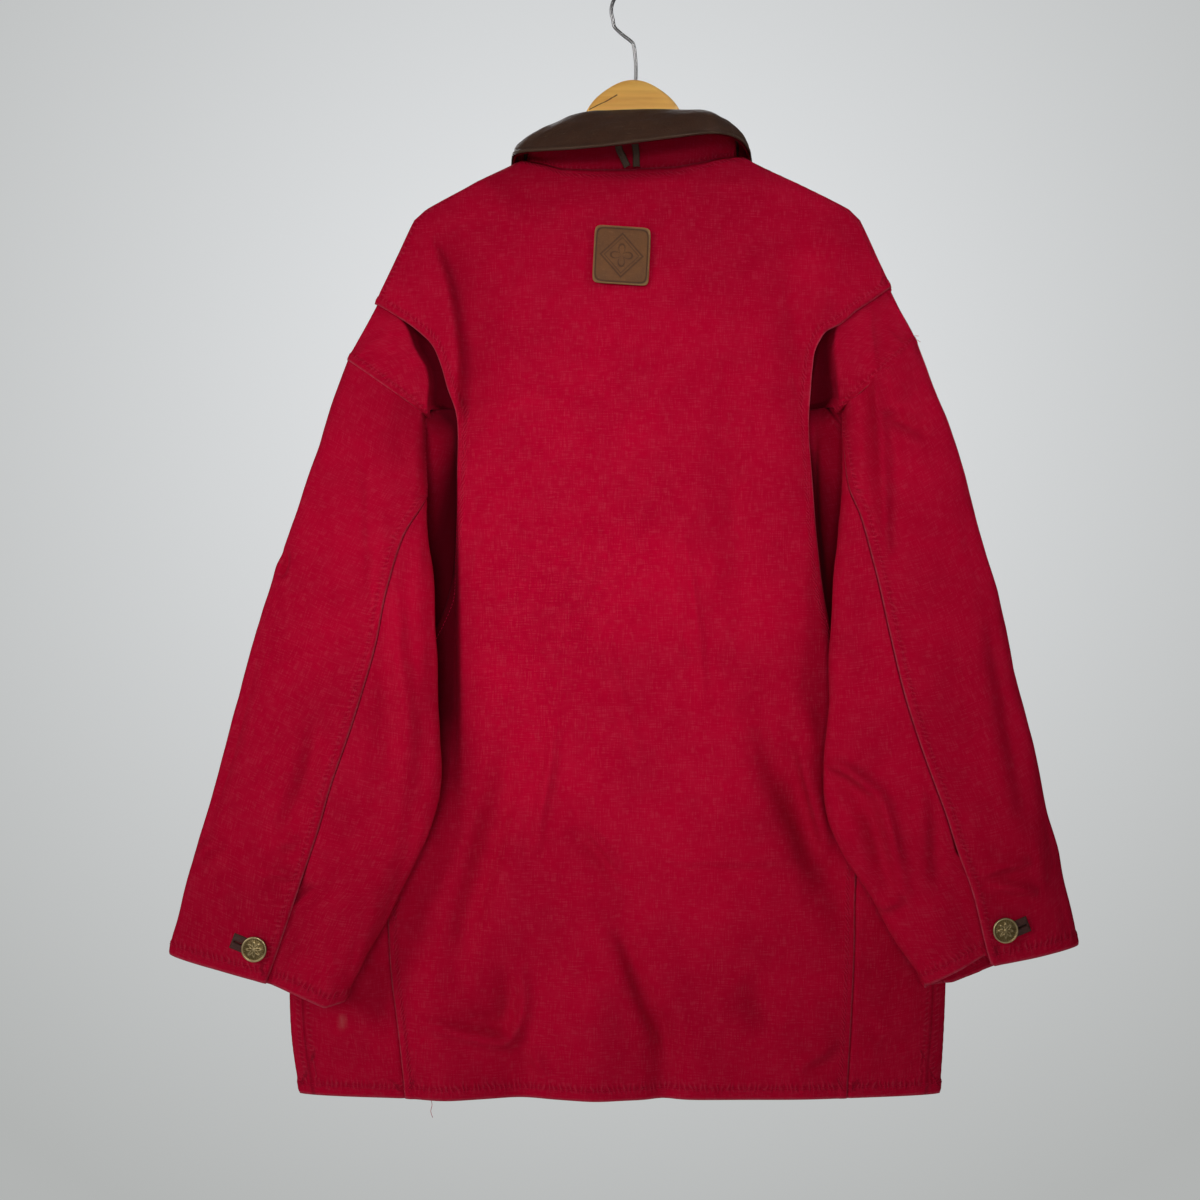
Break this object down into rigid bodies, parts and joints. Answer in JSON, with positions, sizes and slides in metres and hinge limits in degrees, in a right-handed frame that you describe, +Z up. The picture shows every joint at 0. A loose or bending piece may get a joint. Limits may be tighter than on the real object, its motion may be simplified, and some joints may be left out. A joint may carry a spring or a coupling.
{
  "type": "hunting jacket on a hanger",
  "caption": "Canvas hunting jacket with a leather collar and a leather patch, hanging from a wooden coat hanger by its wire hook.",
  "frame": {"origin": "inside top of the hanger's hook, where it sits on a rail", "axes": "+Z up, +Y out of the jacket's back, +X toward the wearer's left sleeve"},
  "size_m": [0.7788, 0.1453, 0.9815],
  "materials": {
    "canvas": "matt woven cotton canvas",
    "collar_leather": "waxed dark brown, worn",
    "patch_leather": "tooled tan, worn rim",
    "brass": "antique",
    "wood": "clear lacquer",
    "steel": "chrome plated wire"
  },
  "bodies": {
    "root": {"back": "canvas", "band_left": "canvas", "band_right": "canvas", "collar_leaf": "collar_leather", "collar_stand": "canvas", "cuff_button_left": "brass", "cuff_button_right": "brass", "cuff_welt_left": "collar_leather", "cuff_welt_right": "collar_leather", "front_button_1": "brass", "front_button_2": "brass", "front_button_3": "brass", "front_button_4": "brass", "front_button_5": "brass", "front_left": "canvas", "front_right": "canvas", "hang_loop": "collar_leather", "hanger": "wood", "hook": "steel", "patch": "patch_leather", "side_left": "canvas", "side_right": "canvas", "sleeve_top_left": "canvas", "sleeve_top_right": "canvas", "sleeve_under_left": "canvas", "sleeve_under_right": "canvas", "under_collar": "canvas"}
  },
  "joints": []
}
